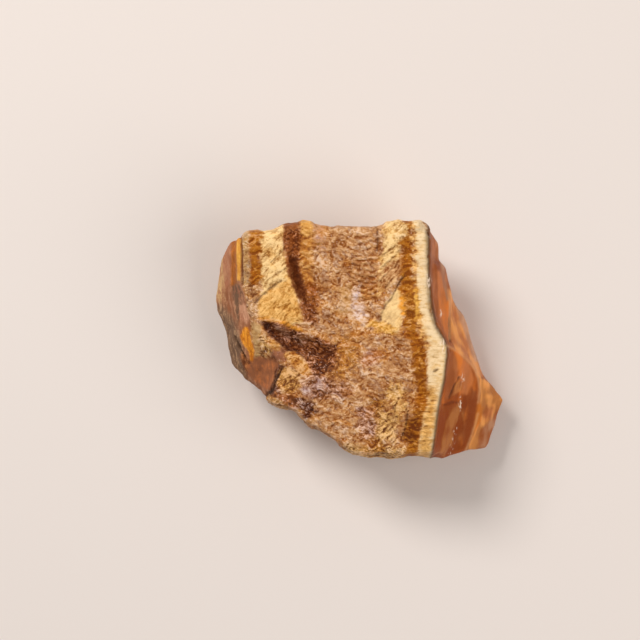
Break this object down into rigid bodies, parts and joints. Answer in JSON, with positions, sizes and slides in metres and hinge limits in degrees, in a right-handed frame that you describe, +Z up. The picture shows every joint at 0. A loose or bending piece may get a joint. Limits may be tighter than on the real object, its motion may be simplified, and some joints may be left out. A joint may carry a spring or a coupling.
{
  "type": "rough tiger's eye stone",
  "caption": "Rough chunk of banded tiger's eye with a slope of red jasper down one side and weathered rind on the other, lying on its flat base.",
  "frame": {"origin": "under the middle of the stone's bounding box, on the flat it lies on", "axes": "+X across the bands towards the jasper, +Y along the bands, +Z up out of the broad banded face"},
  "size_m": [0.0824, 0.068, 0.03],
  "materials": {
    "banded_quartz": "satin"
  },
  "bodies": {
    "root": {"tigers_eye_stone": "banded_quartz"}
  },
  "joints": []
}
